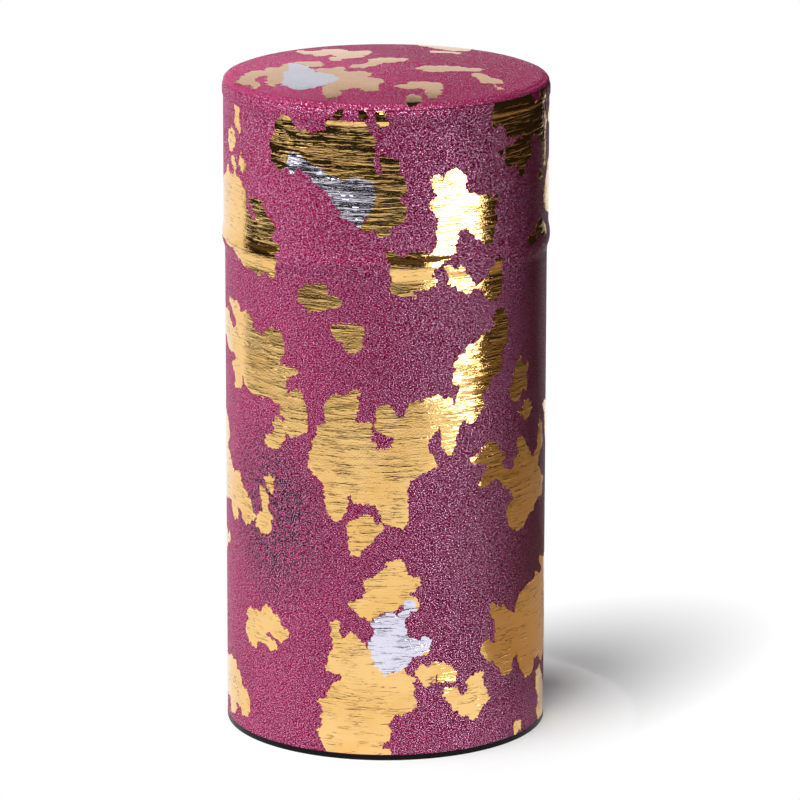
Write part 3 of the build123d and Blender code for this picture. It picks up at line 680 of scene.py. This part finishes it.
def leaf_material(name, light, deep, turned, depth):
    """Beaten metal leaf over paper: a fine grain, wrinkles along the fibres, and dark lines, a few
    cracks and painted shade.
    """
    s = Shade(bpy.data.materials.new(name))
    place = s.flat() if turned else s.wrapped()
    along = s.scaled(place, (1.0, 0.11, 0.11) if turned else (0.11, 1.0, 1.0))
    creases = s.ramp(s.noise(along, 1.1, 3.0, 0.6), 0.48, 0.78, 0.0, 0.55)
    lines = s.math("ABSOLUTE", s.math("SUBTRACT", s.noise(along, 0.62, 3.0, 0.65), 0.5))
    height = s.node("ShaderNodeSeparateXYZ", place).outputs[2 if turned else 1]
    upper = s.ramp(height, 66.0, 128.0, -0.06, 0.09)
    rucked = s.ramp(s.math("ADD", s.noise(place, 0.13, 2.0, 0.5), upper), 0.4, 0.58, 0.12, 1.0)
    grain = s.noise(place, 2.5, 1.0, 0.5)
    cloud = s.noise(place, 0.12, 2.0, 0.5)
    # Dark lines, partly cracks and partly painted shade for the wrinkles' dark streaks, more on the
    # side than the top.
    crack_and_shade_lines = s.ramp(lines, 0.006, 0.018, 0.1 if turned else 0.7, 0.0)
    crack_and_shade_lines = s.math("MULTIPLY", crack_and_shade_lines, s.ramp(s.noise(place, 0.21, 2.0, 0.5), 0.42, 0.6))
    colour = s.mix(s.ramp(cloud, 0.35, 0.65), light, deep)
    colour = s.mix(crack_and_shade_lines, colour, CRACK_AND_STREAK_SHADE)
    wrinkles = s.math("MULTIPLY", creases, rucked)
    relief = s.math("ADD", wrinkles, s.math("MULTIPLY", grain, 0.12))
    return s.principled(
        Base_Color=colour,
        Metallic=1.0,
        Roughness=s.ramp(grain, 0.3, 0.7, 0.08, 0.15),
        Normal=s.bump(relief, depth),
    )


def tin_material(name, light, deep, fineness):
    """Bright tinplate with faint lines round the axis."""
    s = Shade(bpy.data.materials.new(name))
    place = s.wrapped()
    lines = s.noise(s.scaled(place, (0.03, 1.0, 1.0)), fineness, 3.0, 0.6)
    cloud = s.noise(place, 0.09, 3.0, 0.6)
    return s.principled(
        Base_Color=s.mix(s.ramp(cloud, 0.35, 0.65), light, deep),
        Metallic=1.0,
        Roughness=s.ramp(lines, 0.3, 0.7, 0.2, 0.36),
        Normal=s.bump(lines, 0.012),
    )


def lacquer_material():
    """Black lacquer on tin, rubbed a little where it stands on the table."""
    s = Shade(bpy.data.materials.new("black_lacquer"))
    place = s.flat()
    wear = s.noise(place, 0.7, 4.0, 0.65)
    peel = s.noise(place, 1.4, 2.0, 0.5)
    return s.principled(
        Base_Color=s.mix(s.ramp(wear, 0.55, 0.75), seen(9, 8, 9), seen(20, 18, 18)),
        Roughness=s.ramp(wear, 0.3, 0.7, 0.24, 0.42),
        Specular_IOR_Level=0.12,
        Normal=s.bump(peel, 0.02),
    )


SIDE_PAPER = paper_material("crimson_paper_side", False)
TOP_PAPER = paper_material("crimson_paper_top", True)
TINPLATE = tin_material("tinplate", seen(216, 215, 209), seen(194, 193, 188), 2.4)
BRIGHT_TIN = tin_material("bright_tin", seen(226, 224, 218), seen(206, 204, 198), 5.0)
LACQUER = lacquer_material()
GOLD = (seen(252, 207, 136), seen(246, 196, 120))
# painted shade: a darker copy of the gold for the top's leaf
TOP_GOLD_SHADED = (seen(250, 192, 138), seen(240, 180, 124))
SILVER = (seen(232, 229, 246), seen(226, 223, 242))
GOLD_RELIEF, SILVER_RELIEF, TOP_RELIEF = 0.2, 0.36, 0.04  # millimetres, of grain and wrinkles
SIDE_GOLD = leaf_material("gold_leaf_side", *GOLD, False, GOLD_RELIEF)
SIDE_SILVER = leaf_material("silver_leaf_side", *SILVER, False, SILVER_RELIEF)
TOP_GOLD_LEAF = leaf_material("gold_leaf_top", *TOP_GOLD_SHADED, True, TOP_RELIEF)
TOP_SILVER_LEAF = leaf_material("silver_leaf_top", *SILVER, True, TOP_RELIEF)

for node, material in {
    "base_end": LACQUER,
    "body_tube": TINPLATE,
    "neck_sleeve": TINPLATE,
    "body_wrap": SIDE_PAPER,
    "lid_tube": TINPLATE,
    "lid_end": TINPLATE,
    "lid_wrap": SIDE_PAPER,
    "lid_top_paper": TOP_PAPER,
    "inner_lid": TINPLATE,
    "knob": BRIGHT_TIN,
    "knob_rivet": BRIGHT_TIN,
}.items():
    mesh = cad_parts[node].data
    mesh.materials.clear()
    mesh.materials.append(material)

# ---- the leaf itself ---------------------------------------------------------------------------
hidden = random.Random(HIDDEN_SEED)
body_ends = (BODY_BOTTOM + BODY_MARGINS[0], BODY_TOP - BODY_MARGINS[1])
lid_ends = (LID_BOTTOM + LID_MARGINS[0], LID_TOP - LID_MARGINS[1])
body_back = scatter(hidden, *body_ends, BODY_TRIES, BODY_SIZES)
lid_back = scatter(hidden, *lid_ends, LID_TRIES, LID_SIZES)
silver_back = [body_back[index] for index in SILVER_BACK]
body_back = [flake for flake in body_back if flake not in silver_back]

add_leaf("gold_leaf_body", outlines(BODY_GOLD) + body_back, on_side, BODY, SIDE_GOLD, 1)
add_leaf(
    "silver_leaf_body", outlines(BODY_SILVER) + silver_back, on_side, BODY, SIDE_SILVER, 2, SILVER_LIFT
)
add_leaf("gold_leaf_lid", outlines(LID_GOLD) + lid_back, on_side, LID, SIDE_GOLD, 3)
add_leaf("silver_leaf_lid", outlines(LID_SILVER), on_side, LID, SIDE_SILVER, 4, SILVER_LIFT)
add_leaf("gold_leaf_top", domed(TOP_GOLD), on_top, LID, TOP_GOLD_LEAF, 5, turned=True)
add_leaf(
    "silver_leaf_top", domed(TOP_SILVER), on_top, LID, TOP_SILVER_LEAF, 6, SILVER_LIFT, turned=True
)


# ---- studio, in metres -------------------------------------------------------------------------
FLOOR_HALF = 3.0
FLOOR_BACK = 1.5
FLOOR_BEND = 0.35
FLOOR_BEND_STEPS = 9
BACKDROP_TOP = 0.85
BACKDROP_SHADE_MIDDLE = (200.0, 500.0, 1.0, 0.7)  # painted shade: two heights in millimetres, and how white the backdrop's glow is at each
BACKDROP_SHADE_TOP = (720.0, 850.0, 1.0, 0.4)  # the same further up, multiplied by the first
# Cards, most glowing only for mirrors as painted reflections. Tones are near the caddy and further
# off, and a fade is the millimetres between the two.
FLAG_NEAR, FLAG_FAR = 0.2, 2.4  # where the flags start over the floor and where they turn up
FLAG_LEFT, FLAG_RIGHT = -115.0, 120.0  # degrees right of the camera's side, with flag on the floor
FLAG_BACK_RISE = 20.0  # degrees above level, over the backdrop
FLAG_RISES = (30, 45, 60, 75, 90)  # the rest of the way up
FLAG_STEP = 5
FLAG_LIFT, SHADE_LIFT, UNLIT_LIFT = 0.002, 0.003, 0.004  # above the floor, one over another
FLAG_TONES = (seen(252, 252, 252), seen(18, 15, 13))
FLAG_FADE = (300.0, 550.0)
SHADE_LEFT, SHADE_RIGHT = 62.0, 150.0  # the darker floor that leaf on the right mirrors, a painted shadow of the caddy
UNLIT_LEFT, UNLIT_RIGHT = 22.0, 165.0  # the floor that throws no light back on the caddy
SHADE_NEAR, SHADE_FAR = 0.06, 1.2
SHADE_STEPS = 11
SHADE_TONES = (seen(170, 148, 126), seen(26, 20, 16))
SHADE_FADE = (110.0, 480.0)
WALL = (95, 170, 1.15, 0.0, 0.6)  # from and to, in degrees right of the camera's side, then metres
BAND = (-115, 60, 2.2, 0.1, 1.0)  # away, and the heights of its lower and upper edge
WALL_TONES = (seen(36, 31, 28), seen(28, 24, 22))
BAND_TONES = (seen(92, 77, 63), seen(72, 60, 49))
WALL_FADE = 200.0  # millimetres, from the card's own distance
WALL_STEP = 5
SHADOW_MIDDLE = (28.0, 14.0, 0.0)  # in millimetres, as are the distances from it
SHADOW_TURN = (0.0, 0.0, math.radians(54.0))  # of its long side, from the caddy's right to the back
WHITE_START = (103.0, 45.0, 100.0)  # from the middle, along the long side, across it, and up
SHADOW_END = 0.12  # as a share of that
WORLD_LIGHT = 0.03  # that the world throws on the caddy, where mirrors and the camera see 1
MIDDLE_HEIGHT = 0.08  # of the caddy, where most lamps point


def mirrored_white(s):
    """1 for what the camera sees directly or in metal and glass, and 0 for light on the caddy."""
    rays = s.node("ShaderNodeLightPath").outputs
    either = s.math("MAXIMUM", rays["Is Camera Ray"], rays["Is Glossy Ray"])
    return s.math("MAXIMUM", either, rays["Is Transmission Ray"])


def floor_material():
    """White card that keeps the caddy's shadow, and is plain white where the shadow has ended."""
    s = Shade(bpy.data.materials.new("white_card"))
    tooth = s.noise(s.flat(), 0.02)
    diffuse = s.node("ShaderNodeBsdfDiffuse", s.mix(tooth, seen(247, 247, 249), seen(249, 249, 251)))
    height = s.node("ShaderNodeSeparateXYZ", s.flat()).outputs[2]
    # painted shade: the backdrop's glow dims further up
    upper = s.math("MULTIPLY", s.ramp(height, *BACKDROP_SHADE_MIDDLE), s.ramp(height, *BACKDROP_SHADE_TOP))
    white = s.node("ShaderNodeEmission", seen(255, 255, 255), upper)
    shadow = s.node(
        "ShaderNodeMapping", s.flat(), SHADOW_MIDDLE, SHADOW_TURN, WHITE_START, vector_type="TEXTURE"
    )
    away = s.node("ShaderNodeVectorMath", shadow.outputs[0], operation="LENGTH").outputs["Value"]
    factor = s.math("MULTIPLY", s.ramp(away, SHADOW_END, 1.0), mirrored_white(s))
    return s.finish(s.node("ShaderNodeMixShader", factor, diffuse.outputs[0], white.outputs[0]))


def card_material(name, tones, start, end):
    """Card of one tone near the caddy and another further off. Only mirrors see its light, a painted
    reflection.
    """
    s = Shade(bpy.data.materials.new(name))
    away = s.node("ShaderNodeVectorMath", s.flat(), operation="LENGTH").outputs["Value"]
    tooth = s.ramp(s.noise(s.flat(), 0.02), 0.3, 0.7, -0.05, 0.05)
    blend = s.math("ADD", s.ramp(away, start, end), tooth)
    mirrored = s.node("ShaderNodeLightPath").outputs["Is Glossy Ray"]
    return s.finish(s.node("ShaderNodeEmission", s.mix(blend, *tones), mirrored))


def around(turn, rise, reach):
    """A point this far away, turn degrees right of the camera's side and rise degrees up."""
    turn, rise = math.radians(turn), math.radians(rise)
    level = reach * math.cos(rise)
    return Vector((level * math.sin(turn), -level * math.cos(turn), reach * math.sin(rise)))


def strip_faces(start, end):
    """The faces of a strip whose points, from start to before end, go across it in pairs."""
    return [[i, i + 1, i + 3, i + 2] for i in range(start, end - 2, 2)]


def add_stage(name, points, faces, material):
    piece = add_mesh(name, points, faces)
    piece.data.materials.append(material)
    return piece


def add_card(name, points, faces, tones, start, end, mirrored=True):
    """Card that only mirrors see or, if it isn't mirrored, only light on the caddy."""
    card = add_stage(name, points, faces, card_material(name + "_card", tones, start, end))
    card.visible_camera = False
    card.visible_shadow = False
    card.visible_transmission = False
    card.visible_glossy = mirrored
    card.visible_diffuse = not mirrored


def add_floor():
    line = [(-FLOOR_HALF, 0.0), (FLOOR_BACK, 0.0)]
    for step in range(1, FLOOR_BEND_STEPS + 1):
        turn = math.radians(90 * step / FLOOR_BEND_STEPS)
        line.append((FLOOR_BACK + FLOOR_BEND * math.sin(turn), FLOOR_BEND * (1 - math.cos(turn))))
    line.append((FLOOR_BACK + FLOOR_BEND, BACKDROP_TOP))
    points = [(side * FLOOR_HALF, y, z) for y, z in line for side in (-1, 1)]
    floor = add_stage("floor", points, strip_faces(0, len(points)), floor_material())
    floor.data.shade_smooth()


def add_flags():
    """Card all round, black further off: over the floor, then up and overhead."""
    points, faces = [], []
    for turn in range(-180, 180, FLAG_STEP):
        sides = (turn, turn + FLAG_STEP)
        front = FLAG_LEFT <= turn + FLAG_STEP / 2 <= FLAG_RIGHT
        strip = [around(side, 0, FLAG_NEAR) for side in sides] if front else []
        for rise in (0 if front else FLAG_BACK_RISE, *FLAG_RISES):
            strip += [around(side, rise, FLAG_FAR) for side in sides]
        start = len(points)
        points += [spot + Vector((0, 0, FLAG_LIFT)) for spot in strip]
        faces += strip_faces(start, len(points))
    add_card("flags", points, faces, FLAG_TONES, *FLAG_FADE)


def add_shade(name, left, right, lift, mirrored):
    """Card over the floor on the right, from one turn round the caddy to another."""
    turns = [left + (right - left) * index / SHADE_STEPS for index in range(SHADE_STEPS + 1)]
    points = [
        around(turn, 0, reach) + Vector((0, 0, lift))
        for turn in turns
        for reach in (SHADE_NEAR, SHADE_FAR)
    ]
    add_card(name, points, strip_faces(0, len(points)), SHADE_TONES, *SHADE_FADE, mirrored)


def add_wall(name, left, right, away, bottom, top, tones):
    """Card stood up on an arc round the caddy."""
    points = [
        around(turn, 0, away) + Vector((0, 0, height))
        for turn in range(left, right + 1, WALL_STEP)
        for height in (bottom, top)
    ]
    faces = strip_faces(0, len(points))
    add_card(name, points, faces, tones, away / MM, away / MM + WALL_FADE)


def add_lamp(name, turn, rise, reach, size, light, aim=MIDDLE_HEIGHT):
    """A flat soft light of this width and height, this far from a point this high on the axis."""
    data = bpy.data.lights.new(name, "AREA")
    data.shape = "RECTANGLE"
    data.size, data.size_y = size
    data.energy = light * math.pi * size[0] * size[1]
    lamp = bpy.data.objects.new(name, data)
    bpy.context.scene.collection.objects.link(lamp)
    lamp.location = around(turn, rise, reach) + Vector((0, 0, aim))
    lamp.rotation_euler = around(turn, rise, 1.0).to_track_quat("Z", "Y").to_euler()
    lamp.visible_camera = False
    return lamp


def add_world():
    world = bpy.data.worlds.new("studio")
    bpy.context.scene.world = world
    s = Shade(world)
    strength = s.ramp(mirrored_white(s), 0.0, 1.0, WORLD_LIGHT, 1.0)
    s.finish(s.node("ShaderNodeBackground", seen(255, 255, 255), strength), "ShaderNodeOutputWorld")


add_floor()
add_flags()
# A painted shadow of the caddy on the floor, which only mirrors see.
add_shade("shade", SHADE_LEFT, SHADE_RIGHT, SHADE_LIFT, True)
add_shade("unlit", UNLIT_LEFT, UNLIT_RIGHT, UNLIT_LIFT, False)
add_wall("wall", *WALL, WALL_TONES)
add_wall("band", *BAND, BAND_TONES)
add_world()

# Each lamp's degrees round and up, metres away, width and height, and radiance.
over = add_lamp("over", -45, 73, 1.2, (0.7, 0.7), 9.8)
over.visible_glossy = False
add_lamp("side", -85, 30, 1.2, (1.1, 0.6), 2.95)
strip = add_lamp("strip", 48, 10, 0.39, (0.24, 0.08), 12.5, aim=0.0)
rim = add_lamp("rim", -38, 82, 1.2, (0.9, 1.0), 11.0)
strip.visible_diffuse = rim.visible_diffuse = False
